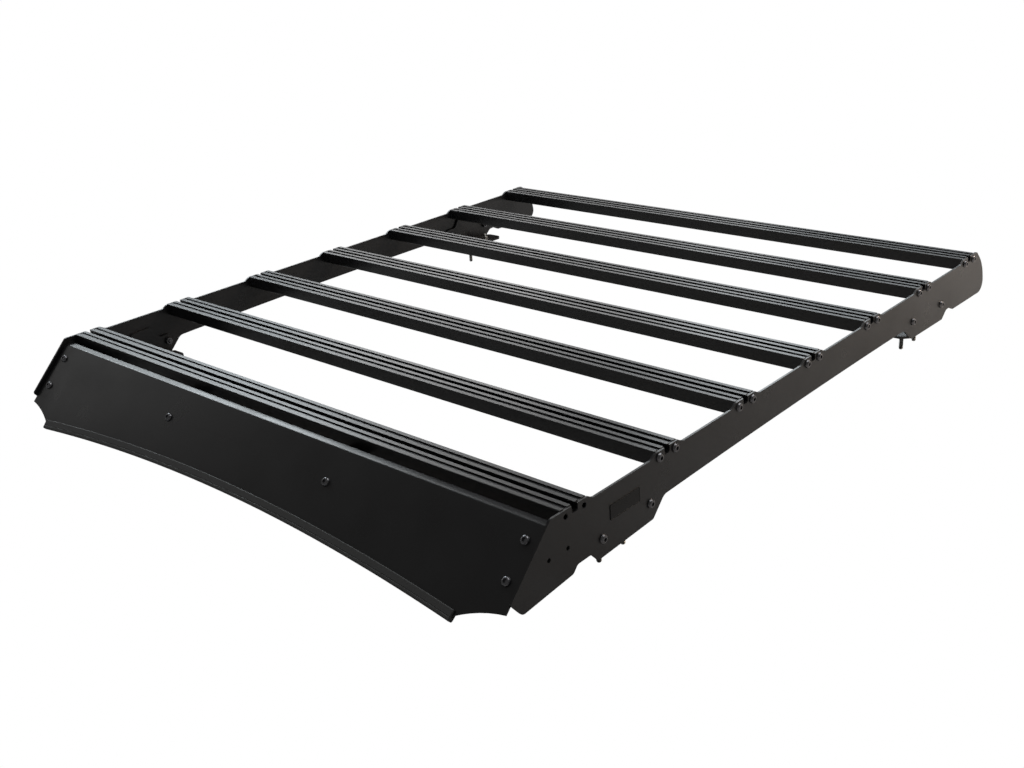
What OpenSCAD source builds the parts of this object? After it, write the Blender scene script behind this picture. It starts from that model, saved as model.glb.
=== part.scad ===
// Flat platform roof rack: seven slotted aluminium slats bolted between two laser cut side
// plates, with a sloped wind deflector across the front and four bracket feet with studs.
// X runs across the rack, -Y is the front with the deflector, and Z is up.
// Heights inside the modules are measured down from the slat tops, which is the load deck.

/* [Deck] */
// Number of slats
slat_count = 7; // [3:1:9]
// Distance from one slat to the next, centre to centre
slat_pitch = 200; // [170:1:230]
// Width over the outer faces of the side plates
rack_width = 1192; // [1000:1:1400]

/* [Slats] */
// Width of a slat
slat_width = 51; // [48:0.5:60]
// Height of a slat
slat_height = 22.8; // [20:0.1:28]
// Outer wall of the extrusion
slat_wall = 2; // [1.5:0.1:2.5]
// Radius of the two lower edges of a slat
slat_edge_r = 1.5; // [0.5:0.1:2.5]
// Mouth of the slot that takes a bolt's shank
slot_mouth = 8.6; // [6.5:0.1:11]
// Width of the channel that takes the bolt's head
slot_channel_w = 17; // [14:0.1:18]
// Height of that channel
slot_channel_h = 7; // [6:0.1:8]
// Thickness of the two lips over the channel
slot_lip = 3; // [2:0.1:4]
// Distance of a grip groove from the slat's middle
groove_offset = 14.4; // [13.8:0.1:15]
// Width of a grip groove
groove_w = 7; // [5:0.1:8]
// Depth of a grip groove
groove_d = 2; // [1.6:0.1:2.2]
// Distance of a screw port from the slat's middle
port_offset = 18.5; // [18:0.1:19]
// Depth of the screw ports' axes below the deck
port_drop = 10.4; // [9:0.1:12]
// Bore of a screw port, tapped for the end bolts
port_bore = 6.8; // [5:0.1:7]
// Outside diameter of the boss round a screw port
port_boss = 10.8; // [9.5:0.1:11.5]

/* [Side plates] */
// Thickness of a side plate
plate_t = 3.5; // [3:0.1:8]
// How far the plate's top lies below the deck between slats
rail_drop = 7.5; // [6:0.5:12]
// How far the plate's top lies below the deck at a slat
hump_drop = 1; // [0:0.5:4]
// Half the length of the raised top at a slat
hump_half = 26; // [26:0.5:36]
// Length of the slope at each end of that raised top
hump_ramp = 11; // [6:0.5:20]
// Width of the notch that opens the slot's end
notch_w = 12; // [9:0.5:16]
// Depth of the notch's floor below the deck
notch_drop = 11.5; // [9:0.5:14]
// Radius of the notch's lower corners
notch_r = 3; // [1:0.5:4]
// Clearance hole for the slat end bolts and foot bolts
bolt_hole = 9; // [8:0.1:10]
// Depth below the deck of the highest point of the arched edge between the feet
waist_drop = 65.2; // [50:0.1:80]
// How much lower that edge is at its front end
waist_fall = 6; // [0:0.1:9]
// Depth of the front feet's bases below the deck, at their middles
front_foot_drop = 100.6; // [98:0.1:106]
// Depth of the rear feet's bases below the deck, at their middles
rear_foot_drop = 93.8; // [90:0.1:97]
// Distance from the first slat to the plate's upper front corner
nose_reach = 47; // [45:0.5:60]
// Height of the sloped front edge of the plate
nose_height = 82; // [78:0.5:90]
// Distance from the last slat to the plate's rearmost point
tail_reach = 78; // [70:1:100]
// Depth of the plate's tail below the deck
tail_drop = 91; // [85:0.5:95]

/* [Wind deflector] */
// Slope of the deflector and of the plates' front edge, from the horizontal
rake = 45; // [40:1:50]
// Sheet thickness of the deflector
sheet_t = 3; // [2:0.1:4]
// How far the deflector's face lies behind the plates' front edge
sheet_recess = 6.4; // [4:0.1:9]
// Gap between the deflector's sides and the plates
sheet_gap = 2.5; // [1:0.1:3.5]
// Depth of the turned back lip on the deflector's top edge
lip_depth = 12; // [8:0.5:20]
// Depth of that lip below the deck
lip_drop = 11.5; // [10:0.5:13]
// Outer radius of the lip's bend
lip_r = 4; // [3.5:0.1:6]
// Length of the deflector's sides, down its slope
cheek_length = 120; // [110:1:130]
// Length of the sheet at the ends of its lower edge, down its slope
sheet_length = 150; // [140:1:165]
// How much higher the lower edge is at its middle
edge_bow = 29; // [15:1:35]
// Distance from the plates to the ends of the rubber trim
trim_inset = 77.5; // [60:0.5:100]
// Radius of the hollow corners between the sides and the trim
corner_r = 197; // [120:1:260]
// Diameter of the holes for the deflector's bolts
deflector_hole = 9; // [8:0.1:10]
// Distance of the outer bolts from the plates' inner faces
edge_bolt_inset = 22.5; // [17:0.5:25]
// Place of the upper outer bolts, down the deflector's slope
bolt_row_1 = 26; // [22:1:34]
// Place of the lower outer bolts, down the deflector's slope
bolt_row_2 = 82; // [70:1:90]
// Place of the two inner bolts, down the deflector's slope
stay_bolt_row = 53; // [45:1:60]
// Distance of the inner bolts from the rack's middle
stay_offset = 202; // [150:1:260]

/* [Rubber trim] */
// Thickness over the trim
trim_t = 10; // [6:0.1:12]
// Height of the trim on the sheet
trim_h = 16; // [12:0.5:18]
// Rubber under the sheet's edge
trim_root = 6; // [2.5:0.1:7]

/* [Brackets] */
// Thickness of the brackets behind the deflector
bracket_t = 3; // [2:0.1:4]
// Width of the corner brackets' flange behind the deflector
flange_w = 36; // [32:1:44]
// Width of the two stays
stay_w = 40; // [30:1:60]
// Length of a stay's foot under the first slat
stay_seat = 44; // [34:1:48]
// Diameter of the small plate holes for the corner brackets
small_hole = 6.6; // [5:0.1:7]
// Distance from the first slat forward to the nearer small hole
small_hole_ahead = 17.5; // [14:0.5:22]
// Distance between the two small holes
small_hole_pitch = 37; // [30:0.5:42]
// Depth of the small holes below the deck
small_hole_drop = 56; // [50:0.5:62]

/* [Feet] */
// Distance from the first slat back to the front feet
front_foot_back = 107; // [98:0.5:116]
// Distance from the last slat forward to the rear feet
rear_foot_ahead = 178; // [165:0.5:190]
// Rise of the front feet's bases towards the rear, in degrees
front_foot_tilt = 2.6; // [0:0.1:4]
// Fall of the rear feet's bases towards the rear, in degrees
rear_foot_tilt = 1.2; // [0:0.1:4]
// Thickness of a foot bracket
foot_t = 5; // [4:0.5:6]
// Length of a front foot bracket's base
front_foot_length = 118; // [110:1:122]
// Length of a rear foot bracket's base
rear_foot_length = 145; // [134:1:148]
// Width of a foot bracket's base
foot_w = 50; // [46:1:60]
// Distance between the two bolts that hold a front foot to its plate
front_bolt_pitch = 106; // [96:0.5:110]
// Distance between the two bolts that hold a rear foot to its plate
rear_bolt_pitch = 118; // [108:0.5:124]
// Height of the front feet's bolts over the base
front_bolt_rise = 27; // [22:0.5:30]
// Height of the rear feet's bolts over the base
rear_bolt_rise = 33; // [26:0.5:34]
// Height of the middle of a foot bracket's upright
foot_height = 66; // [56:1:70]
// Distance between the two studs of a foot
stud_pitch = 54; // [44:1:60]
// How far the studs' middle lies behind the bracket's middle
stud_shift = 4.5; // [0:0.5:8]
// Distance of the studs from the plate's inner face
stud_inset = 32.5; // [27:0.5:35]
// Diameter of the studs
stud_d = 8; // [6:0.1:10]
// Length of a stud below the foot's base
stud_drop = 38.5; // [20:0.5:45]
// Length of a stud above the foot's base, with its nut
stud_rise = 14; // [12:1:30]
// Height of a stud's nut
nut_h = 6.5; // [5:0.1:8]
// Width of a stud's nut across its flats
nut_af = 13; // [11:0.5:16]

/* [Badge] */
// Length of the bare badge plate
badge_l = 65; // [50:1:80]
// Height of the bare badge plate
badge_h = 23; // [15:1:28]
// Thickness of the bare badge plate
badge_t = 1; // [0.6:0.1:2]
// Distance from the first slat back to the badge's middle
badge_back = 102.5; // [95:0.5:115]
// Depth of the badge's middle below the deck
badge_drop = 45.5; // [40:0.5:50]

/* [Hidden] */
$fn = 48;

// Powder coat, rubber and zinc as they look in daylight
coat = [0.09, 0.09, 0.1];
coat_light = [0.16, 0.16, 0.17];
rubber = [0.05, 0.05, 0.05];
zinc = [0.45, 0.45, 0.44];

// Faces and lines that the pieces share
plate_out = rack_width / 2;
plate_in = plate_out - plate_t;
first_y = -slat_pitch * (slat_count - 1) / 2;
last_y = -first_y;
front_foot_y = first_y + front_foot_back;
rear_foot_y = last_y - rear_foot_ahead;
stud_x = plate_in - stud_inset;

// The plates' front edge and the deflector's face are parallel lines in the side view.
// The fold is where the deflector's face would meet the top of its lip.
nose_y = first_y - nose_reach;
nose_tip_y = nose_y - nose_height / tan(rake);
nose_tip_drop = hump_drop + nose_height;
fold_y = nose_y - (lip_drop - hump_drop) / tan(rake) + sheet_recess / sin(rake);
sheet_half = plate_in - sheet_gap;
trim_half = plate_in - trim_inset;
edge_radius = (trim_half * trim_half + edge_bow * edge_bow) / (2 * edge_bow);
edge_centre = sheet_length - edge_bow + edge_radius;
edge_reach = asin(trim_half / edge_radius);

// A closed outline from corners of the form [across, up, radius], each rounded by an arc
arc_step = 7.5;
function unit(v) = v / norm(v);
function arc_at(a, b, c) =
    let (p = [b[0], b[1]])
    let (u = unit([a[0], a[1]] - p))
    let (v = unit([c[0], c[1]] - p))
    let (half = acos(max(-1, min(1, u * v))) / 2)
    let (centre = p + unit(u + v) * b[2] / sin(half))
    let (p0 = p + u * b[2] / tan(half))
    let (p1 = p + v * b[2] / tan(half))
    let (a0 = atan2(p0[1] - centre[1], p0[0] - centre[0]))
    let (a1 = atan2(p1[1] - centre[1], p1[0] - centre[0]))
    let (turn = a1 - a0 > 180 ? a1 - a0 - 360 : a1 - a0 < -180 ? a1 - a0 + 360 : a1 - a0)
    let (steps = max(2, ceil(abs(turn) / arc_step)))
    [for (i = [0:steps]) centre + b[2] * [cos(a0 + turn * i / steps), sin(a0 + turn * i / steps)]];
function rounded(corners) =
    let (n = len(corners))
    [for (i = [0:n - 1])
        each (corners[i][2] > 0
            ? arc_at(corners[(i + n - 1) % n], corners[i], corners[(i + 1) % n])
            : [[corners[i][0], corners[i][1]]])];

// A shape drawn in the side view, with Y across and Z up, as thick as t from x onwards
module side_view(x, t) { translate([x, 0, 0]) rotate([90, 0, 90]) linear_extrude(t) children(); }

// The left side's piece is the right side's piece mirrored
module on_side(side) {
    if (side > 0) children();
    else mirror([1, 0, 0]) children();
}

// A local frame on the deflector's face: Y runs up the slope and Z out of the face
module on_slope() { translate([0, fold_y, -lip_drop]) rotate([rake, 0, 0]) children(); }

// The side view's [y, z] of a point that is s down the slope and n out of the face
function slope_point(s, n) =
    [fold_y - s * cos(rake) - n * sin(rake), -lip_drop - s * sin(rake) + n * cos(rake)];

// Where the line n out of the face has the height z
function slope_at(z, n) = slope_point((-lip_drop + n * cos(rake) - z) / sin(rake), n);

// Side plates: the outline runs along the top from front to rear and back along the bottom.
// These are the radii of its corners.
hump_r = 12;
small_r = 5;
nose_r = 6;
chin_r = 10;
ramp_r = 8;
slope_r = 16;
waist_r = 36;
tail_back_r = 85;
tail_tip_r = 20;
function corner(p, r) = [p[0], p[1], r];
function hump(y) = [
    [y - hump_half - hump_ramp, -rail_drop, hump_r], [y - hump_half, -hump_drop, hump_r],
    [y + hump_half, -hump_drop, hump_r], [y + hump_half + hump_ramp, -rail_drop, hump_r]];

// Tail: its top ends behind the last slat, its back bows out, and its lower edge rises a little
tail_y = last_y + tail_reach;
tail_top_in = 42;
tail_back_in = 8;
tail_back_drop = 34;
tail_rise = 2.2;

// The straight edge under each foot ends at these distances from the foot's middle, and slopes
// of these lengths lead from there to the waist
front_edge = [-65, 57.5];
rear_edge = [-60, 69];
front_slope_run = 26.5;
rear_slope_run = 32;
function at_front(dy, up) =
    [front_foot_y + dy, -front_foot_drop + dy * tan(front_foot_tilt) + up];
function at_rear(dy, up) =
    [rear_foot_y + dy, -rear_foot_drop - dy * tan(rear_foot_tilt) + up];

// The waist between them is a shallow arch whose top lies at this share of its length
waist_peak = 0.7;
waist_steps = 10;
waist_ends = [front_foot_y + front_edge[1] + front_slope_run, rear_foot_y + rear_edge[0] - rear_slope_run];
function waist_point(k) =
    let (s = k / waist_steps, off = (s - waist_peak) / waist_peak)
    [waist_ends[0] + (waist_ends[1] - waist_ends[0]) * s, -waist_drop - waist_fall * off * off];

// Gaps in the edge: distances from the foot's middle, with heights over the foot's base in front
// of the front feet and over the tail's edge behind the rear ones
front_gap = [[-79, 16], [-107, 17], [-116, 7.5]];
rear_gap = [[116, 0], [99, 8], [86, 8]];
function at_tail(p) = [rear_foot_y + p[0], -tail_drop + tail_rise + p[1]];

// The chin lies this far behind the nose's tip and this far below the front feet's bases
chin = [20, 7];
plate_corners = concat(
    // Nose, then the tops of the slats with the dips between them
    [[nose_tip_y, -nose_tip_drop, small_r], [nose_y, -hump_drop, nose_r]],
    [for (k = [2:3]) hump(first_y)[k]],
    [for (i = [1:slat_count - 2]) each hump(first_y + i * slat_pitch)],
    [for (k = [0:1]) hump(last_y)[k]],
    // The curved tail, and the gap in front of it
    [[tail_y - tail_top_in, -hump_drop, hump_r], [tail_y - tail_back_in, -tail_back_drop, tail_back_r],
     [tail_y + small_r / 2, -tail_drop, tail_tip_r], corner(at_tail(rear_gap[0]), ramp_r),
     corner(at_tail(rear_gap[1]), ramp_r), corner(at_tail(rear_gap[2]), hump_r)],
    // Rear foot, arched waist and front foot
    [corner(at_rear(rear_edge[1], 0), small_r), corner(at_rear(rear_edge[0], 0), small_r),
     corner(waist_point(waist_steps), waist_r)],
    [for (k = [1:waist_steps - 1]) corner(waist_point(waist_steps - k), 0)],
    [corner(waist_point(0), slope_r), corner(at_front(front_edge[1], 0), small_r),
     corner(at_front(front_edge[0], 0), small_r)],
    // The gap in front of it, and the chin under the nose
    [corner(at_front(front_gap[0][0], front_gap[0][1]), nose_r),
     corner(at_front(front_gap[1][0], front_gap[1][1]), ramp_r),
     corner(at_front(front_gap[2][0], front_gap[2][1]), ramp_r),
     [nose_tip_y + chin[0], -front_foot_drop - chin[1], chin_r]]);
plate_outline = rounded(plate_corners);

// The rack's own frame has its origin under the middle of its box, level with the lowest stud end
function stud_low(drop, tilt, shift) =
    drop + stud_drop * cos(tilt) + (stud_pitch / 2 + shift + stud_d / 2) * sin(tilt);
deck_height = max(stud_low(front_foot_drop, front_foot_tilt, -stud_shift),
                  stud_low(rear_foot_drop, rear_foot_tilt, stud_shift));
front_end_y = slope_point(sheet_length + trim_root * cos(edge_reach), (trim_t - sheet_t) / 2)[0];
rear_end_y = max([for (p = plate_outline) p[0]]);
shift_y = -(front_end_y + rear_end_y) / 2;
module in_frame() { translate([0, shift_y, deck_height]) children(); }

module notch(y) {
    polygon(rounded([
        [y - notch_w / 2, 1, 0], [y - notch_w / 2, -notch_drop, notch_r],
        [y + notch_w / 2, -notch_drop, notch_r], [y + notch_w / 2, 1, 0]]));
}

small_holes = [for (k = [0, 1]) [first_y - small_hole_ahead - k * small_hole_pitch, -small_hole_drop]];

// A foot is given by its distance along the rack, its depth, its tilt, the pitch and rise of its
// bolts and the length of its base
front_foot = [front_foot_y, front_foot_drop, front_foot_tilt, front_bolt_pitch, front_bolt_rise,
              front_foot_length];
rear_foot = [rear_foot_y, rear_foot_drop, -rear_foot_tilt, rear_bolt_pitch, rear_bolt_rise,
             rear_foot_length];

module side_plate(side) {
    color(coat_light) in_frame() on_side(side) side_view(plate_in, plate_t) difference() {
        polygon(plate_outline);
        for (i = [0:slat_count - 1]) {
            y = first_y + i * slat_pitch;
            notch(y);
            for (s = [-1, 1]) translate([y + s * port_offset, -port_drop]) circle(d = bolt_hole);
        }
        for (foot = [front_foot, rear_foot], s = [-1, 1])
            translate([foot[0], -foot[1]]) rotate(foot[2])
                translate([s * foot[3] / 2, foot[4]]) circle(d = bolt_hole);
        for (h = small_holes) translate(h) circle(d = small_hole);
    }
}

// Slats: one extrusion with a slot for bolt heads, grip grooves, screw ports and hollow chambers
channel_floor = slot_lip + slot_channel_h + slat_wall;
slat_top_r = 1;
module slat_profile() {
    chamber_top = slot_lip + slat_wall * 0.5;
    side_in = slot_channel_w / 2 + slat_wall;
    side_out = slat_width / 2 - slat_wall;
    difference() {
        polygon(rounded([
            [-slat_width / 2, 0, slat_top_r], [-slat_width / 2, -slat_height, slat_edge_r],
            [slat_width / 2, -slat_height, slat_edge_r], [slat_width / 2, 0, slat_top_r]]));
        // Slot with its channel for bolt heads
        translate([-slot_mouth / 2, -slot_lip - 1]) square([slot_mouth, slot_lip + 2]);
        translate([-slot_channel_w / 2, -slot_lip - slot_channel_h]) square([slot_channel_w, slot_channel_h]);
        // Grip grooves
        for (s = [-1, 1]) translate([s * groove_offset - groove_w / 2, -groove_d])
            square([groove_w, groove_d + 1]);
        // Hollow chamber under the channel and one round each screw port
        translate([-slot_channel_w / 2, -slat_height + slat_wall])
            square([slot_channel_w, slat_height - slat_wall - channel_floor]);
        for (s = [-1, 1]) difference() {
            translate([s > 0 ? side_in : -side_out, -slat_height + slat_wall])
                square([side_out - side_in, slat_height - slat_wall - chamber_top]);
            translate([s * port_offset, -port_drop]) circle(d = port_boss);
        }
        for (s = [-1, 1]) translate([s * port_offset, -port_drop]) circle(d = port_bore);
    }
}
module slat(i) {
    color(coat) in_frame() translate([-plate_in, first_y + (i - 1) * slat_pitch, 0])
        rotate([90, 0, 90]) linear_extrude(2 * plate_in) slat_profile();
}

// Wind deflector: a sheet whose lip is turned back level, with a bowed lower edge
// Each hollow corner is an arc through the side's lower end and the trim's end. A cutting shape
// reaches past the sheet by the value past.
lip_chamfer = 7;
trim_end_rise = 2.4;
past = 20;
corner_a = [sheet_half, -cheek_length];
corner_b = [trim_half, -sheet_length + trim_end_rise];
corner_out = unit([corner_a[1] - corner_b[1], corner_b[0] - corner_a[0]]);
corner_off = sqrt(corner_r * corner_r - pow(norm(corner_a - corner_b) / 2, 2));
corner_c = (corner_a + corner_b) / 2 + corner_out * corner_off;
module deflector_side() {
    e = slope_point(sheet_length + past, 0);
    f = slope_point(sheet_length + past, -sheet_t);
    inner = slope_at(-lip_drop - sheet_t, -sheet_t);
    polygon(rounded([
        [fold_y + lip_depth, -lip_drop, 0], [fold_y, -lip_drop, lip_r], [e[0], e[1], 0],
        [f[0], f[1], 0], [inner[0], inner[1], lip_r - sheet_t],
        [fold_y + lip_depth, -lip_drop - sheet_t, 0]]));
}
module deflector_outline() {
    difference() {
        translate([-sheet_half, -sheet_length - past / 2])
            square([2 * sheet_half, sheet_length + lip_depth + past]);
        // The bowed lower edge is one long arc between the ends of the trim
        intersection() {
            translate([0, -edge_centre]) circle(r = edge_radius, $fn = 720);
            translate([-trim_half, -sheet_length - past]) square([2 * trim_half, sheet_length]);
        }
        // Hollow corners between the sides and the trim
        for (s = [-1, 1]) intersection() {
            translate([s * corner_c[0], corner_c[1]]) circle(r = corner_r, $fn = 180);
            translate([s > 0 ? trim_half : -sheet_half - past, -sheet_length - past])
                square([sheet_half + past - trim_half, sheet_length]);
        }
    }
}
module wind_deflector() {
    color(coat) in_frame() difference() {
        intersection() {
            side_view(-sheet_half, 2 * sheet_half) deflector_side();
            on_slope() translate([0, 0, -2 * past]) linear_extrude(4 * past) deflector_outline();
        }
        // The lip's ends are cut back at a slant
        for (s = [-1, 1]) translate([0, 0, -lip_drop - 2 * sheet_t]) linear_extrude(3 * sheet_t)
            polygon([[s * (sheet_half + 1), fold_y + lip_r], [s * (sheet_half + 1), fold_y + lip_depth + 1],
                     [s * (sheet_half - lip_chamfer), fold_y + lip_depth + 1]]);
        on_slope() {
            for (s = [-1, 1], row = [bolt_row_1, bolt_row_2])
                translate([s * (plate_in - edge_bolt_inset), -row, -2 * sheet_t])
                    cylinder(h = 4 * sheet_t, d = deflector_hole);
            for (s = [-1, 1]) translate([s * stay_offset, -stay_bolt_row, -2 * sheet_t])
                cylinder(h = 4 * sheet_t, d = deflector_hole);
        }
    }
}

// Rubber trim: a channel that grips the bowed edge from end to end
module deflector_trim() {
    fit = 0.15;
    low = edge_radius - trim_root;
    color(rubber) in_frame() on_slope() translate([0, -edge_centre, -sheet_t / 2])
        rotate([0, 0, 90 - edge_reach]) rotate_extrude(angle = 2 * edge_reach, $fn = 720) difference() {
            translate([low, -trim_t / 2]) square([trim_h, trim_t]);
            translate([edge_radius - fit, -sheet_t / 2 - fit]) square([trim_h, sheet_t + 2 * fit]);
        }
}

// Corner brackets: a flange behind each end of the deflector, and an upright on the side plate
bracket_top = 14;
bracket_low = 104;
bracket_head = 30;
bracket_toe = 36;
bracket_edge = 13;
bracket_r = 6;
module corner_bracket(side) {
    a = slope_point(bracket_top, -sheet_t);
    b = slope_point(bracket_low, -sheet_t);
    rear = first_y - small_hole_ahead + bracket_edge;
    color(coat) in_frame() on_side(side) difference() {
        union() {
            side_view(plate_in - bracket_t, bracket_t) polygon(rounded([
                [a[0], a[1], 0], [b[0], b[1], 0], [first_y - bracket_toe, b[1], bracket_r],
                [rear, -small_hole_drop - bracket_edge, bracket_r],
                [rear, -small_hole_drop + bracket_edge, bracket_r],
                [first_y - bracket_head, a[1], bracket_r]]));
            on_slope() translate([0, 0, -sheet_t - bracket_t]) linear_extrude(bracket_t)
                polygon(rounded([
                    [plate_in, -bracket_top, 0], [plate_in - flange_w, -bracket_top, bracket_r],
                    [plate_in - flange_w, -bracket_low, bracket_r], [plate_in, -bracket_low, 0]]));
        }
        for (row = [bolt_row_1, bolt_row_2])
            on_slope() translate([plate_in - edge_bolt_inset, -row, -3 * sheet_t])
                cylinder(h = 4 * sheet_t, d = deflector_hole);
        for (h = small_holes) translate([plate_in - 2 * bracket_t, h[0], h[1]]) rotate([0, 90, 0])
            cylinder(h = 4 * bracket_t, d = small_hole);
    }
}

// Stays: bent straps from under the first slat to the two inner bolts of the deflector
stay_end = 18;
module deflector_stay(side) {
    top = -slat_height;
    seat_rear = first_y - slat_width / 2 + stay_seat;
    end = stay_bolt_row + stay_end;
    p = slope_at(top, -sheet_t);
    q = slope_point(end, -sheet_t);
    r = slope_point(end, -sheet_t - bracket_t);
    s = slope_at(top - bracket_t, -sheet_t - bracket_t);
    color(coat) in_frame() on_side(side) difference() {
        side_view(stay_offset - stay_w / 2, stay_w) polygon(rounded([
            [seat_rear, top, 0], [p[0], p[1], 0], [q[0], q[1], 0], [r[0], r[1], 0],
            [s[0], s[1], 2], [seat_rear, top - bracket_t, 0]]));
        on_slope() translate([stay_offset, -stay_bolt_row, -3 * sheet_t])
            cylinder(h = 4 * sheet_t, d = deflector_hole);
    }
}

// Feet: an upright bolted inside the plate, with a base that carries two studs
stud_hole = stud_d + 1;
stud_shoulder = stud_d + 0.6;
ear_margin = 13;
ear_in = 18;
ear_slope = 12;
ear_r = 12;
base_cut = 12;
base_r = 6;
module at_foot(side, foot) {
    in_frame() on_side(side) translate([0, foot[0], -foot[1]]) rotate([foot[2], 0, 0]) children();
}
module foot_bracket(side, foot) {
    bolt_y = foot[3] / 2;
    bolt_z = foot[4];
    half = foot[5] / 2;
    ear_half = max(bolt_y + ear_margin, half);
    color(coat) at_foot(side, foot) difference() {
        union() {
            side_view(plate_in - foot_t, foot_t) polygon(rounded([
                [-half + base_cut, 0, 0], [-ear_half, bolt_z - ear_margin, base_r],
                [-ear_half, bolt_z + ear_margin, ear_r], [-bolt_y + ear_in, bolt_z + ear_margin, ear_r],
                [-bolt_y + ear_in + ear_slope, foot_height, ear_r],
                [bolt_y - ear_in - ear_slope, foot_height, ear_r],
                [bolt_y - ear_in, bolt_z + ear_margin, ear_r], [ear_half, bolt_z + ear_margin, ear_r],
                [ear_half, bolt_z - ear_margin, base_r], [half - base_cut, 0, 0]]));
            linear_extrude(foot_t) polygon(rounded([
                [plate_in, -half + base_cut, 0], [plate_in, half - base_cut, 0],
                [plate_in - base_cut, half, base_r], [plate_in - foot_w, half, ear_r],
                [plate_in - foot_w, -half, ear_r], [plate_in - base_cut, -half, base_r]]));
        }
        for (s = [-1, 1]) {
            translate([plate_in - 2 * foot_t, s * bolt_y, bolt_z]) rotate([0, 90, 0])
                cylinder(h = 4 * foot_t, d = bolt_hole);
            translate([stud_x, stud_shift + s * stud_pitch / 2, -foot_t])
                cylinder(h = 3 * foot_t, d = stud_hole);
        }
    }
}

// A stud has a plain shoulder in the base's hole, and is held by a nut on the base
module foot_studs(side, foot) {
    color(zinc) at_foot(side, foot) for (s = [-1, 1])
        translate([stud_x, stud_shift + s * stud_pitch / 2, 0]) {
            translate([0, 0, -stud_drop]) cylinder(h = stud_drop + foot_t + stud_rise, d = stud_d);
            cylinder(h = foot_t, d = stud_shoulder);
            translate([0, 0, foot_t]) cylinder(h = nut_h, d = nut_af / cos(30), $fn = 6);
        }
}

// The bare badge plate on the outside of the right side plate
badge_r = 2;
module badge_plate() {
    color(coat_light) in_frame() side_view(plate_out, badge_t)
        translate([first_y + badge_back, -badge_drop]) polygon(rounded([
            [-badge_l / 2, -badge_h / 2, badge_r], [badge_l / 2, -badge_h / 2, badge_r],
            [badge_l / 2, badge_h / 2, badge_r], [-badge_l / 2, badge_h / 2, badge_r]]));
}

side_plate(-1);  // side_plate_left
side_plate(1);  // side_plate_right
for (i = [1:slat_count]) slat(i);
wind_deflector();
deflector_trim();
corner_bracket(-1);  // corner_bracket_left
corner_bracket(1);  // corner_bracket_right
deflector_stay(-1);  // deflector_stay_left
deflector_stay(1);  // deflector_stay_right
foot_bracket(-1, front_foot);  // foot_bracket_front_left
foot_bracket(1, front_foot);  // foot_bracket_front_right
foot_bracket(-1, rear_foot);  // foot_bracket_rear_left
foot_bracket(1, rear_foot);  // foot_bracket_rear_right
foot_studs(-1, front_foot);  // foot_studs_front_left
foot_studs(1, front_foot);  // foot_studs_front_right
foot_studs(-1, rear_foot);  // foot_studs_rear_left
foot_studs(1, rear_foot);  // foot_studs_rear_right
badge_plate();
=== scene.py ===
# %% [markdown]
# ## A flat platform roof rack, dressed round its frame
#
# The real rack is a deck of seven aluminium slats, bolted between two laser cut side plates, with a
# sloped wind deflector in front and four bracket feet. Nearly all of its shape is exact sheet and
# extrusion, so those pieces come from the CAD model unchanged. This lesson adds what a drawing leaves
# out: the powder coat, the rubber, every bolt head and nut, and the threads of the studs.

# %% Load the frame
import math

import bmesh
import bpy
from mathutils import Matrix, Vector


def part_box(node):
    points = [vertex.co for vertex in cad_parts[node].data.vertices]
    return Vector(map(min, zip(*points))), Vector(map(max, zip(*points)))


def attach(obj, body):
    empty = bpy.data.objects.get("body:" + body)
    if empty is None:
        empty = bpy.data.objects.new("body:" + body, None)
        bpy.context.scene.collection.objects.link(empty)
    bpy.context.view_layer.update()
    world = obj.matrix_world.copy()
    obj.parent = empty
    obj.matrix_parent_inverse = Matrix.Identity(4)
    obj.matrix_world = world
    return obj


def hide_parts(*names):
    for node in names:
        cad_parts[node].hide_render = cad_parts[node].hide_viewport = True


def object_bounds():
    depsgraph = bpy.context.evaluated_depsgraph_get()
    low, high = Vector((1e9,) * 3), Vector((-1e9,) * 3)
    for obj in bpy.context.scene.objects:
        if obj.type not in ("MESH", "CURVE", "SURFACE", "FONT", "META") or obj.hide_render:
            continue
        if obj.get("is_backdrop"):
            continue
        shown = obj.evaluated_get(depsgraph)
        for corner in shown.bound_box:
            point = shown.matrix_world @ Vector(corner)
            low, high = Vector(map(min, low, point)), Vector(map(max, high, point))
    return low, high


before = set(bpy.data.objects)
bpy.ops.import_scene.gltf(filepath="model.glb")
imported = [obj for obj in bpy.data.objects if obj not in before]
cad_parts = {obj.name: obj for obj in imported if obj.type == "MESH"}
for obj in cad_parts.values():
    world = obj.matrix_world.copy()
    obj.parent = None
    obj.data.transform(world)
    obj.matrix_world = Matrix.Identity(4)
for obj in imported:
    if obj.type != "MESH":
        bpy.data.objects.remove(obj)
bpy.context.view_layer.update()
MM = 0.001
SIDES = {"left": -1, "right": 1}
slat_count = sum(name.startswith("slat_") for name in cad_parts)
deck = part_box("slat_1")[1].z
plate_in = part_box("side_plate_right")[0].x
plate_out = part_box("side_plate_right")[1].x


def slat_middle(number):
    """How far along the rack a slat's middle lies."""
    low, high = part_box(f"slat_{number}")
    return (low.y + high.y) / 2


# %% [markdown]
# ## The camera
#
# The slats were the ruler: they are level and parallel, and their spacing was taken as 200 mm, which
# is usual for such trays but isn't stated anywhere. Solving for a pinhole camera then gave its place,
# its three axes and its focal length, so they stand here as numbers. The place is measured from the
# middle of the deck, so that it follows the model. A camera's matrix holds its right, up and backward
# axes as columns.

# %% Place the camera
FOCAL_PIXELS = 1199.663
PHOTO_WIDTH = 1024
SENSOR = 36.0
right = Vector((0.74071984, 0.66821487, -0.06944791))
up = Vector((-0.21200854, 0.33059259, 0.91965261))
back = Vector((0.63748451, -0.66648138, 0.38654374))
deck_middle = Vector((0, slat_middle((slat_count + 1) // 2), deck))
place = deck_middle + Vector((1.467886, -1.608600, 0.727387))

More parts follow.
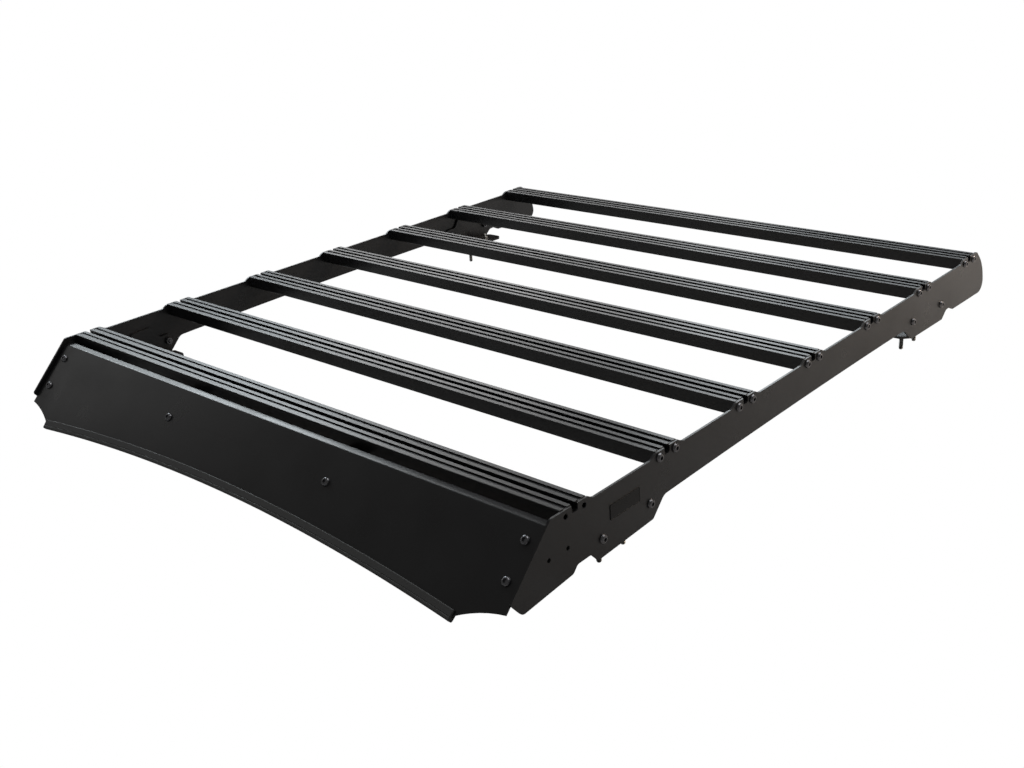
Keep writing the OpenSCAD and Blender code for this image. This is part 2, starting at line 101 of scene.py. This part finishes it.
camera_data = bpy.data.cameras.new("photo_camera")
camera_data.sensor_width = SENSOR
camera_data.lens = SENSOR * FOCAL_PIXELS / PHOTO_WIDTH
camera_data.clip_start = 0.05
camera_data.clip_end = 60.0
camera = bpy.data.objects.new("photo_camera", camera_data)
turn = Matrix((right, up, back)).transposed().to_4x4()
camera.matrix_world = Matrix.Translation(place) @ turn
bpy.context.scene.collection.objects.link(camera)
bpy.context.scene.camera = camera
print("Lens", round(camera_data.lens, 2), "mm")

# %% [markdown]
# ## The studio
#
# Satin black shows little of its own colour. It shows what it reflects, so the lights are chosen by
# mirror angles. From this camera the level faces mirror a row of low panels far behind the rack, the
# deflector mirrors the dark upper left, and upright faces mirror the floor. A white floor would turn
# those faces grey, so the floor is a light table: the camera sees its white glass, and what the rack
# mirrors is a dimmer grey. The air over the horizon is split by the same node. A warm lamp near the
# far right corner gives the plate there its glow.

# %% Floor
FLOOR_HALF = 14.0
FLOOR_GREY = 0.42
AIR = (0.141, 0.138, 0.133)


def make_material(name):
    """A new material with its Principled shader and node tree."""
    material = bpy.data.materials.new(name)
    material.use_nodes = True
    shader = material.node_tree.nodes["Principled BSDF"]
    return material, shader, material.node_tree


def make_object(name, bm):
    """A finished piece: outward normals, an object at the origin, its place in its mesh."""
    bmesh.ops.recalc_face_normals(bm, faces=bm.faces)
    mesh = bpy.data.meshes.new(name)
    bm.to_mesh(mesh)
    bm.free()
    piece = bpy.data.objects.new(name, mesh)
    bpy.context.scene.collection.objects.link(piece)
    return piece


def split_by_ray(tree, lighting, shown, output):
    """Camera rays meet one shader, and the rays that light and mirror the rack meet the other."""
    path = tree.nodes.new("ShaderNodeLightPath")
    choose = tree.nodes.new("ShaderNodeMixShader")
    tree.links.new(path.outputs["Is Camera Ray"], choose.inputs["Fac"])
    tree.links.new(lighting, choose.inputs[1])
    tree.links.new(shown, choose.inputs[2])
    tree.links.new(choose.outputs["Shader"], output.inputs["Surface"])


floor_bm = bmesh.new()
bmesh.ops.create_grid(floor_bm, x_segments=1, y_segments=1, size=FLOOR_HALF)
floor = make_object("studio_floor", floor_bm)
floor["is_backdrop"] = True
floor_paint, shader, tree = make_material("pale_floor")
shader.inputs["Base Color"].default_value = (FLOOR_GREY, FLOOR_GREY, FLOOR_GREY, 1)
shader.inputs["Roughness"].default_value = 0.9
shader.inputs["Specular IOR Level"].default_value = 0.1
glass = tree.nodes.new("ShaderNodeEmission")
split_by_ray(tree, shader.outputs["BSDF"], glass.outputs["Emission"], tree.nodes["Material Output"])
floor.data.materials.append(floor_paint)
print("Floor", 2 * FLOOR_HALF, "m wide")

# %% World and lights


def area_light(name, centre, target, size, strength, colour=(1, 1, 1)):
    """A soft panel that faces its target; strength is its brightness per square metre."""
    data = bpy.data.lights.new(name, "AREA")
    data.shape = "RECTANGLE"
    data.size, data.size_y = size
    data.energy = strength * size[0] * size[1] * math.pi
    data.color = colour
    lamp = bpy.data.objects.new(name, data)
    lamp.location = centre
    aim = Vector(target) - Vector(centre)
    lamp.rotation_euler = aim.to_track_quat("-Z", "Y").to_euler()
    bpy.context.scene.collection.objects.link(lamp)
    return lamp


world = bpy.data.worlds.new("studio_air")
world.use_nodes = True
tree = world.node_tree
sky = tree.nodes["Background"]
sky.inputs["Color"].default_value = (*AIR, 1)
backdrop = tree.nodes.new("ShaderNodeBackground")
backdrop.inputs["Color"].default_value = (1, 1, 1, 1)
split_by_ray(tree, sky.outputs["Background"], backdrop.outputs["Background"], tree.nodes["World Output"])
bpy.context.scene.world = world

WHITE = (1, 1, 1)
COOL = (0.88, 0.955, 1.0)
WARM = (1.0, 0.82, 0.66)
PANEL_DISTANCE = 4.0
PANELS = [
    ("far_left_panel", 165, 30, (2.0, 1.0), 8.6, COOL),
    ("far_back_panel", 105, 30, (2.0, 1.0), 4.8, COOL),
    ("low_left_panel", 140, 22, (1.2, 0.8), 3.8, WHITE),
    ("low_back_panel", 122, 20, (1.2, 0.8), 2.0, WHITE),
    ("dim_left_panel", 200, 22, (1.4, 1.0), 0.56, WHITE)]
aim_point = Vector((0, 0, 0.1))
for name, azimuth, elevation, size, strength, colour in PANELS:
    bearing, rise = math.radians(azimuth), math.radians(elevation)
    flat = math.cos(rise)
    direction = Vector((math.cos(bearing) * flat, math.sin(bearing) * flat, math.sin(rise)))
    area_light(name, aim_point + PANEL_DISTANCE * direction, aim_point, size, strength, colour)
area_light("top_panel", (0.6, 1.2, 3.8), (0, 0, 0), (3.0, 3.0), 2.4)
area_light("warm_lamp", (1.5, 1.6, 1.2), (1.2, 1.3, 0), (0.8, 0.8), 16.5, WARM)
bpy.context.scene.view_settings.view_transform = "Standard"
bpy.context.scene.view_settings.look = "None"

# %% [markdown]
# ## Grain that several finishes share
#
# Powder coat is baked dust: it flows together into a skin with a fine, slightly pebbled surface. The
# same effect at other sizes gives rubber its tooth and zinc its dull bloom. It is therefore made once,
# as a node group with named sockets, and each finish sets its own values.

# %% Grain group
grain = bpy.data.node_groups.new("fine_grain", "ShaderNodeTree")
for socket, default in (("Grain Size", 1000.0), ("Cloud Size", 12.0), ("Low", 0.3), ("High", 0.5)):
    made = grain.interface.new_socket(name=socket, in_out="INPUT", socket_type="NodeSocketFloat")
    made.default_value = default
grain.interface.new_socket(name="Coordinates", in_out="INPUT", socket_type="NodeSocketVector")
grain.interface.new_socket(name="Height", in_out="OUTPUT", socket_type="NodeSocketFloat")
grain.interface.new_socket(name="Roughness", in_out="OUTPUT", socket_type="NodeSocketFloat")
nodes, links = grain.nodes, grain.links
entry = nodes.new("NodeGroupInput")
leave = nodes.new("NodeGroupOutput")
pebbles = nodes.new("ShaderNodeTexNoise")
pebbles.inputs["Detail"].default_value = 2.0
clouds = nodes.new("ShaderNodeTexNoise")
clouds.inputs["Detail"].default_value = 4.0
spread = nodes.new("ShaderNodeMapRange")
spread.inputs["From Min"].default_value = 0.3
spread.inputs["From Max"].default_value = 0.7
links.new(entry.outputs["Coordinates"], pebbles.inputs["Vector"])
links.new(entry.outputs["Coordinates"], clouds.inputs["Vector"])
links.new(entry.outputs["Grain Size"], pebbles.inputs["Scale"])
links.new(entry.outputs["Cloud Size"], clouds.inputs["Scale"])
links.new(clouds.outputs["Fac"], spread.inputs["Value"])
links.new(entry.outputs["Low"], spread.inputs["To Min"])
links.new(entry.outputs["High"], spread.inputs["To Max"])
links.new(pebbles.outputs["Fac"], leave.inputs["Height"])
links.new(spread.outputs["Result"], leave.inputs["Roughness"])
print("Group", grain.name, "with", len(nodes), "nodes")

# %% [markdown]
# ## Finishes
#
# Plates, brackets and deflector carry the same black powder coat. The slats have it too, over the
# faint lengthwise lines that an extrusion die leaves. Bolts and their nuts are black zinc, a smooth dark
# metal, and the studs are plain dull zinc. The trim is matt rubber. The badge is darker and glossier
# than the plate behind it, which is how a bare plate can be told from its ground.

# %% Build the finishes


def grained(name, colour, rough, size, depth, metallic=0.0, clouds=12.0, stretch=(1, 1, 1)):
    """A finish with fine grain: rough is its lowest and highest roughness, size is grains a metre."""
    material, shader, tree = make_material(name)
    shader.inputs["Base Color"].default_value = (*colour, 1)
    shader.inputs["Metallic"].default_value = metallic
    where = tree.nodes.new("ShaderNodeTexCoord")
    mapping = tree.nodes.new("ShaderNodeMapping")
    mapping.inputs["Scale"].default_value = stretch
    effect = tree.nodes.new("ShaderNodeGroup")
    effect.node_tree = grain
    effect.inputs["Grain Size"].default_value = size
    effect.inputs["Cloud Size"].default_value = clouds
    effect.inputs["Low"].default_value, effect.inputs["High"].default_value = rough
    bump = tree.nodes.new("ShaderNodeBump")
    bump.inputs["Distance"].default_value = depth
    bump.inputs["Strength"].default_value = 1.0
    tree.links.new(where.outputs["Object"], mapping.inputs["Vector"])
    tree.links.new(mapping.outputs["Vector"], effect.inputs["Coordinates"])
    tree.links.new(effect.outputs["Roughness"], shader.inputs["Roughness"])
    tree.links.new(effect.outputs["Height"], bump.inputs["Height"])
    tree.links.new(bump.outputs["Normal"], shader.inputs["Normal"])
    return material


coat = grained("black_powder_coat", (0.009, 0.009, 0.010), (0.26, 0.36), 700.0, 0.00002)
slat_coat = grained("slat_powder_coat", (0.009, 0.009, 0.010), (0.26, 0.36), 500.0, 0.000008,
                    stretch=(0.04, 1, 1))
rubber = grained("trim_rubber", (0.05, 0.05, 0.05), (0.5, 0.65), 1500.0, 0.00008)
zinc = grained("dull_zinc", (0.30, 0.30, 0.29), (0.35, 0.55), 900.0, 0.00002, metallic=1.0)
black_zinc = grained("black_zinc", (0.16, 0.16, 0.17), (0.16, 0.26), 1200.0, 0.00001, metallic=0.9)
badge_finish = grained("badge_anodise", (0.004, 0.004, 0.0045), (0.12, 0.2), 1600.0, 0.00001)
badge_shader = badge_finish.node_tree.nodes["Principled BSDF"]
badge_shader.inputs["Specular IOR Level"].default_value = 0.25
print("Finishes", [m.name for m in bpy.data.materials])

# %% Give the CAD nodes their finishes
FINISH_OF = {"slat": slat_coat, "deflector_trim": rubber, "foot_studs": zinc, "badge": badge_finish}
for name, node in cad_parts.items():
    finish = next((m for start, m in FINISH_OF.items() if name.startswith(start)), coat)
    for material_slot in node.material_slots:
        material_slot.material = finish
print("Dressed", len(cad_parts), "nodes")

# %% [markdown]
# ## Fasteners
#
# The rack is held by four kinds of fastener: low button heads with a hexagonal socket, the same screws
# set flush in the first slat, chamfered nuts, and threaded studs. Each kind is shaped once, with the
# sizes of M8 parts, and then copied to each place, since the real ones come from one box.

# %% Rings and hexagons
ROUND = 24


def spun(bm, profile, steps=ROUND):
    """Spins a profile of (radius, height) points, in millimetres, about Z."""
    verts = [bm.verts.new((r * MM, 0, h * MM)) for r, h in profile]
    edges = [bm.edges.new(pair) for pair in zip(verts, verts[1:])]
    bmesh.ops.spin(bm, geom=verts + edges, cent=(0, 0, 0), axis=(0, 0, 1), angle=2 * math.pi,
                   steps=steps, use_merge=True)
    bmesh.ops.remove_doubles(bm, verts=bm.verts, dist=1e-7)


def ring(bm, radius, height, corners=ROUND):
    """The edges of a level ring, in millimetres."""
    made = bmesh.ops.create_circle(bm, cap_ends=False, segments=corners, radius=radius * MM)["verts"]
    bmesh.ops.translate(bm, verts=made, vec=(0, 0, height * MM))
    return list({e for v in made for e in v.link_edges})


def hexagon(bm, across, height):
    """A level hexagon, with as many edges as a ring so that the two can be bridged."""
    sides = ring(bm, across / math.sqrt(3), height, corners=6)
    added = bmesh.ops.subdivide_edges(bm, edges=sides, cuts=ROUND // 6 - 1)["geom_inner"]
    return list({e for v in added if isinstance(v, bmesh.types.BMVert) for e in v.link_edges})


def bridge_all(bm, loops):
    """Skins a row of loops from the first to the last."""
    for first, second in zip(loops, loops[1:]):
        bmesh.ops.bridge_loops(bm, edges=first + second)


def as_template(bm, name):
    """Keeps a fastener's mesh so that copies of it can be placed."""
    bmesh.ops.recalc_face_normals(bm, faces=bm.faces)
    mesh = bpy.data.meshes.new(name)
    bm.to_mesh(mesh)
    bm.free()
    print(name, len(mesh.polygons), "faces")
    return mesh


# %% [markdown]
# ## A screw's head
#
# The outside of a head is a few rings, skinned from the seat up and over the dome. The socket goes on
# from the top ring: a hexagon at the same height, the same hexagon further down, and a face across it.
# The socket is a little wider than the 5 mm of a real one, so that it still shows in a small picture.

# %% Heads
SOCKET = 5.6


def socket_head(name, rings, depth):
    """A head from (radius, height) rings, seat first, with a socket sunk from the last one."""
    bm = bmesh.new()
    top = rings[-1][1]
    loops = [ring(bm, radius, height) for radius, height in rings]
    loops += [hexagon(bm, SOCKET, top), hexagon(bm, SOCKET, top - depth)]
    bridge_all(bm, loops)
    bmesh.ops.contextual_create(bm, geom=loops[-1])
    bmesh.ops.contextual_create(bm, geom=loops[0])
    return as_template(bm, name)


button_head = socket_head("button_head", [(6.7, 0), (7, 0.3), (6.9, 1.2), (6.5, 2.4), (5.8, 3.5),
                                          (4.9, 4.1), (3.7, 4.4)], 2.6)
flush_head = socket_head("flush_head", [(4.3, -3), (4.3, -0.4), (3.9, 0), (3.7, 0)], 2.4)

# %% [markdown]
# ## Nuts and threads
#
# A nut's corners are cut by a cone, so its flat top is a ring and its side a hexagon. Bridging one to
# the other gives that cut. A thread is a triangle swept up a helix: spin does it when each step also
# climbs by a share of the pitch. A plain core with a chamfered tip fills the middle.

# %% Nuts and threaded rods
PITCH = 1.25
THREAD_STEPS = 16


def hex_nut(name, across, height, hole):
    """A nut that sits at z = 0, with both ends chamfered."""
    bm = bmesh.new()
    face = across * 0.475
    cut = height * 0.14
    loops = [ring(bm, hole, 0), ring(bm, face, 0), hexagon(bm, across, cut),
             hexagon(bm, across, height - cut), ring(bm, face, height), ring(bm, hole, height)]
    bridge_all(bm, loops + loops[:1])
    return as_template(bm, name)


def threaded_rod(name, radius, low, high, shoulder=0.0):
    """A rod from low to high, threaded but for a plain shoulder above z = 0, its tip at the low end."""
    bm = bmesh.new()
    root = radius - 0.6 * PITCH
    spun(bm, [(0, low), (root - 0.5, low), (root, low + 0.7), (root, high - 0.7), (root - 0.5, high),
              (0, high)])
    if shoulder:
        spun(bm, [(0, 0), (shoulder, 0), (shoulder, 5), (0, 5)])
    corners = [(root - 0.05, 0), (radius, PITCH / 2), (root - 0.05, PITCH)]
    verts = [bm.verts.new((r * MM, 0, (low + 1 + z) * MM)) for r, z in corners]
    ridge = bm.faces.new(verts)
    turns = (high - low - 2 - PITCH) / PITCH
    steps = round(turns * THREAD_STEPS)
    bmesh.ops.spin(bm, geom=[ridge] + list(ridge.edges) + verts, cent=(0, 0, 0), axis=(0, 0, 1),
                   dvec=(0, 0, PITCH / THREAD_STEPS * MM), angle=2 * math.pi * steps / THREAD_STEPS,
                   steps=steps)
    return as_template(bm, name)


def flat_washer(name, outside, thick, hole):
    """A round washer that sits at z = 0, with a small bevel on its outer corners."""
    bm = bmesh.new()
    cut = 0.25
    spun(bm, [(hole, 0), (outside - cut, 0), (outside, cut), (outside, thick - cut), (outside - cut, thick),
              (hole, thick), (hole, 0)])
    return as_template(bm, name)


nut = hex_nut("nut", 13.0, 6.5, 3.6)
WASHER_T = 1.2
washer = flat_washer("washer", 8.0, WASHER_T, 4.2)
STUD_DROP = 38.5
STUD_RISE = 19.0
stud = threaded_rod("stud", 4.0, -STUD_DROP, STUD_RISE, shoulder=4.3)
bolt_end = threaded_rod("bolt_end", 4.0, -6.0, 10.0)

# %% [markdown]
# ## Placing copies
#
# A piece is many copies of a template in one mesh. Each copy has a matrix that puts its seat on a
# point and its axis along a direction. Sockets of real bolts stop at any angle, so each is turned a
# little further than the last.

# %% Helpers for placing


def facing(point, axis, spin=0.0):
    """Puts a fastener's seat at a point with its head along an axis."""
    turned = Vector(axis).to_track_quat("Z", "Y").to_matrix().to_4x4()
    return Matrix.Translation(point) @ turned @ Matrix.Rotation(spin, 4, "Z")


def place_copies(name, jobs, finish):
    """One piece from templates: jobs are pairs of a template mesh and the matrix that places it."""
    bm = bmesh.new()
    for template, matrix in jobs:
        before = len(bm.verts)
        bm.from_mesh(template)
        bm.verts.ensure_lookup_table()
        bmesh.ops.transform(bm, matrix=matrix, verts=bm.verts[before:])
    piece = make_object(name, bm)
    piece.data.materials.append(finish)
    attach(piece, "root")
    print(name, len(jobs), "copies,", len(piece.data.polygons), "faces")
    return piece


# %% [markdown]
# ## Screws at the slats' ends
#
# Each slat is held at both ends by two screws that run through the side plate into the slat's screw
# ports. The first slat has them flush with the plate, and the other slats have button heads.

# %% Slat screws
PORT_OFFSET = 18.5 * MM
PORT_DROP = 10.4 * MM
FLUSH_DEPTH = 0.5 * MM


def port_places(side, number, depth=0.0):
    """The points over a slat's screw ports, at a depth below a plate's outer face."""
    return [Vector((side * (plate_out - depth), slat_middle(number) + s * PORT_OFFSET, deck - PORT_DROP))
            for s in (-1, 1)]


for word, side in SIDES.items():
    points = [p for n in range(2, slat_count + 1) for p in port_places(side, n)]
    jobs = [(button_head, facing(p, (side, 0, 0), 0.37 * k)) for k, p in enumerate(points)]
    place_copies(f"slat_bolts_{word}", jobs, black_zinc)
    jobs = [(flush_head, facing(p, (side, 0, 0), 0.6)) for p in port_places(side, 1, FLUSH_DEPTH)]
    place_copies(f"flush_screws_{word}", jobs, black_zinc)

# %% [markdown]
# ## Bolts and studs of the feet
#
# A foot's base follows the vehicle's roof, so it is tilted a little: the front feet rise to the rear
# and the rear feet fall. Bolts, nuts and studs are placed in the foot's own frame, which has its
# origin under the middle of the bracket. Two bolts hold each foot, with nuts on its inner side.

# %% Foot fasteners
BRACKET = 5 * MM
STUD_INSET = 32.5 * MM
STUD_SHIFT = 4.5 * MM
STUD_HALF = 27 * MM
FEET = {
    "front": {"y": slat_middle(1) + 107 * MM, "drop": 100.6 * MM, "tilt": 2.6, "half": 53 * MM,
              "rise": 27 * MM},
    "rear": {"y": slat_middle(slat_count) - 178 * MM, "drop": 93.8 * MM, "tilt": -1.2, "half": 59 * MM,
             "rise": 33 * MM},
}


def foot_frame(foot):
    """The matrix that puts a foot's own frame on the rack."""
    origin = Matrix.Translation((0, foot["y"], deck - foot["drop"]))
    return origin @ Matrix.Rotation(math.radians(foot["tilt"]), 4, "X")


for word, side in SIDES.items():
    bolts, nuts = [], []
    for end, foot in FEET.items():
        for k, s in enumerate((-1, 1)):
            outside = Vector((side * plate_out, s * foot["half"], foot["rise"]))
            inside = Vector((side * (plate_in - BRACKET), s * foot["half"], foot["rise"]))
            bolts.append((button_head, foot_frame(foot) @ facing(outside, (side, 0, 0), 0.5 * k)))
            nuts.append((nut, foot_frame(foot) @ facing(inside, (-side, 0, 0), 0.3 + k)))
            nuts.append((bolt_end, foot_frame(foot) @ facing(inside, (-side, 0, 0))))
        studs = []
        for s in (-1, 1):
            base = Vector((side * (plate_in - STUD_INSET), STUD_SHIFT + s * STUD_HALF, 0))
            seat = base + Vector((0, 0, BRACKET))
            studs.append((stud, foot_frame(foot) @ Matrix.Translation(base)))
            studs.append((washer, foot_frame(foot) @ Matrix.Translation(seat)))
            top = seat + Vector((0, 0, WASHER_T * MM))
            studs.append((nut, foot_frame(foot) @ facing(top, (0, 0, 1), s)))
        piece = place_copies(f"studs_{end}_{word}", studs, zinc)
        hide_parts(f"foot_studs_{end}_{word}")
    place_copies(f"foot_bolts_{word}", bolts, black_zinc)
    place_copies(f"foot_nuts_{word}", nuts, black_zinc)

# %% [markdown]
# ## Bolts of the deflector
#
# The deflector is bolted to a bracket at each end and to two stays further in. Its own frame has its
# origin at the fold of the sheet, Y up the slope and Z out of the face.

# %% Deflector fasteners
RAKE = math.radians(45)
LIP_DEPTH = 12 * MM
SHEET = 3 * MM
DEFLECTOR_BRACKET = 3 * MM
DEFLECTOR_BOLTS = [(570 * MM, 26 * MM), (570 * MM, 82 * MM), (202 * MM, 53 * MM)]
sheet_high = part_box("wind_deflector")[1]
fold = Vector((0, sheet_high.y - LIP_DEPTH, sheet_high.z))
slope_frame = Matrix.Translation(fold) @ Matrix.Rotation(RAKE, 4, "X")
jobs = []
nuts = []
for side in SIDES.values():
    for k, (across, down) in enumerate(DEFLECTOR_BOLTS):
        front = Vector((side * across, -down, 0))
        behind = front - Vector((0, 0, SHEET + DEFLECTOR_BRACKET))
        jobs.append((button_head, slope_frame @ facing(front, (0, 0, 1), 0.4 + k)))
        nuts.append((nut, slope_frame @ facing(behind, (0, 0, -1), k)))
        nuts.append((bolt_end, slope_frame @ facing(behind, (0, 0, -1))))
place_copies("deflector_bolts", jobs, black_zinc)
place_copies("deflector_nuts", nuts, black_zinc)

# %% [markdown]
# ## Rubber trim
#
# Edge trim is a soft channel that is pushed over the sheet's lower edge. A drawing's square channel
# looks hard, so this one has rounded corners and a shallow groove along its face. Its section is one
# face, whose corners are bevelled, and a spin about the centre of the bowed edge sweeps it.

# %% Trim
TRIM_INSET = 77.5 * MM
EDGE_BOW = 29 * MM
SHEET_LENGTH = 150 * MM
TRIM_ROOT = 6 * MM
TRIM_TOP = 10 * MM
TRIM_HALF_T = 5 * MM
TRIM_FIT = 0.15 * MM
OUTER_ROUND = 2.6 * MM
INNER_ROUND = 1.2 * MM
TRIM_STEPS = 96
trim_half = plate_in - TRIM_INSET
arc = (trim_half ** 2 + EDGE_BOW ** 2) / (2 * EDGE_BOW)
reach = math.asin(trim_half / arc)
centre = Vector((0, -(SHEET_LENGTH - EDGE_BOW + arc), -SHEET / 2))
slot_half = SHEET / 2 + TRIM_FIT

bm = bmesh.new()
section = [(-TRIM_ROOT, -TRIM_HALF_T), (TRIM_TOP, -TRIM_HALF_T), (TRIM_TOP, -slot_half),
           (-TRIM_FIT, -slot_half), (-TRIM_FIT, slot_half), (TRIM_TOP, slot_half),
           (TRIM_TOP, TRIM_HALF_T), (0.5 * MM, TRIM_HALF_T), (-0.3 * MM, TRIM_HALF_T - 0.6 * MM),
           (-1.1 * MM, TRIM_HALF_T), (-TRIM_ROOT, TRIM_HALF_T)]
verts = [bm.verts.new(centre + Vector((0, arc + along, out))) for along, out in section]
bm.faces.new(verts)
for picked, radius in (([verts[0], verts[-1]], OUTER_ROUND), ([verts[1], verts[6]], INNER_ROUND)):
    bmesh.ops.bevel(bm, geom=picked, offset=radius, segments=4, profile=0.5, affect="VERTICES",
                    material=-1)
bmesh.ops.rotate(bm, verts=bm.verts, cent=centre, matrix=Matrix.Rotation(reach, 4, "Z"))
bmesh.ops.spin(bm, geom=list(bm.verts) + list(bm.edges) + list(bm.faces), cent=centre, axis=(0, 0, 1),
               angle=-2 * reach, steps=TRIM_STEPS)
bmesh.ops.transform(bm, matrix=slope_frame, verts=bm.verts)
trim = make_object("rubber_trim", bm)
trim.data.materials.append(rubber)
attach(trim, "root")
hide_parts("deflector_trim")
print("Trim", len(trim.data.polygons), "faces")

# %% [markdown]
# ## Badge
#
# The badge is a thin plate with round corners and a raised rim, stuck to the right side plate. It is
# left bare. A cube gets the plate's size, its four short edges are bevelled for the corners, and its
# front is inset twice: once for the rim and once for the step down to the field.

# %% Badge plate
BADGE_CORNER = 2 * MM
BADGE_EDGE = 0.25 * MM
RIM_WIDTH = 1 * MM
RIM_STEP = 0.3 * MM
FIELD_DEPTH = 0.25 * MM
low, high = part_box("badge_plate")
bm = bmesh.new()
bmesh.ops.create_cube(bm, size=1)
bmesh.ops.scale(bm, vec=high - low, verts=bm.verts)
bmesh.ops.translate(bm, vec=(low + high) / 2, verts=bm.verts)
short = [e for e in bm.edges if abs(e.verts[0].co.x - e.verts[1].co.x) > 0.1 * MM]
bmesh.ops.bevel(bm, geom=short, offset=BADGE_CORNER, segments=5, profile=0.5, affect="EDGES", material=-1)
front = max(bm.faces, key=lambda f: f.calc_center_median().x)
bmesh.ops.bevel(bm, geom=list(front.edges), offset=BADGE_EDGE, segments=2, profile=0.5, affect="EDGES",
                material=-1)
front = max(bm.faces, key=lambda f: f.calc_center_median().x)
bmesh.ops.inset_region(bm, faces=[front], thickness=RIM_WIDTH)
bmesh.ops.inset_region(bm, faces=[front], thickness=RIM_STEP)
bmesh.ops.translate(bm, vec=(-FIELD_DEPTH, 0, 0), verts=front.verts)
badge = make_object("bare_badge", bm)
badge.data.materials.append(badge_finish)
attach(badge, "root")
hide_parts("badge_plate")
print("Badge", len(badge.data.polygons), "faces")

# %% [markdown]
# ## Sizes and finish
#
# The box of the dressed rack, without the floor, is printed.

# %% Finish
low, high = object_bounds()
print("Visual box", [round(v, 4) for v in high - low])
